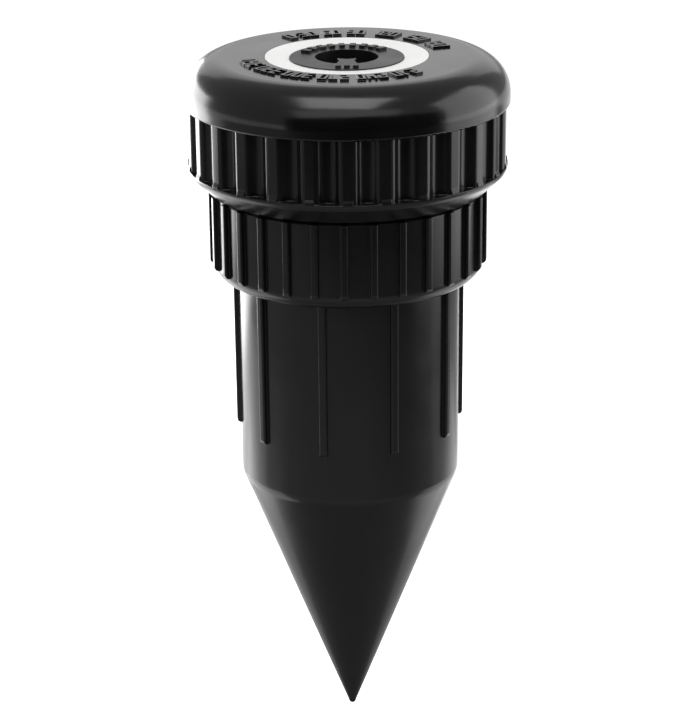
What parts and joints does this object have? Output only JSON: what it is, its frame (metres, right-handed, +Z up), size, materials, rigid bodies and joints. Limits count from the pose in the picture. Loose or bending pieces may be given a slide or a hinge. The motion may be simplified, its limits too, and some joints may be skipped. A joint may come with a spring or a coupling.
{
  "type": "decoy sprinkler head",
  "caption": "Decoy lawn sprinkler head on a finned ground spike, with a fluted screw cap that hides a key in its hollow barrel.",
  "frame": {"origin": "on the axis at the underside of the collar, the plane that the turf comes up to", "axes": "+Z up along the axis, out of the ground; -Y is the front, where the nozzle's pointer tab is"},
  "size_m": [0.0566, 0.0566, 0.1251],
  "materials": {
    "body_plastic": "glossy moulded black",
    "cover_plastic": "satin moulded black",
    "ring_plastic": "satin moulded white",
    "nozzle_plastic": "matt moulded black",
    "nut_steel": "spring steel",
    "gasket_rubber": "matt rubber"
  },
  "bodies": {
    "stake": {"spike_body": "body_plastic"},
    "seal": {"mouth_gasket": "gasket_rubber"},
    "cap": {"cap_grip_ring": "body_plastic", "cap_top_cover": "cover_plastic", "dial_ring": "ring_plastic", "nozzle_plug": "nozzle_plastic", "plug_push_nut": "nut_steel"}
  },
  "joints": [
    {"name": "cap_rise", "type": "slide", "parent": "stake", "child": "seal", "axis": [0, 0, 1], "range_m": [0, 0.054]},
    {"name": "cap_turn", "type": "hinge", "parent": "seal", "child": "cap", "pos_m": [0, 0, 0.0275], "axis": [0, 0, 1], "range_deg": [0, 2160]}
  ],
  "couplings": [
    {"joint": "cap_rise", "follows": "cap_turn", "m_per_rad": 0.0014324}
  ]
}
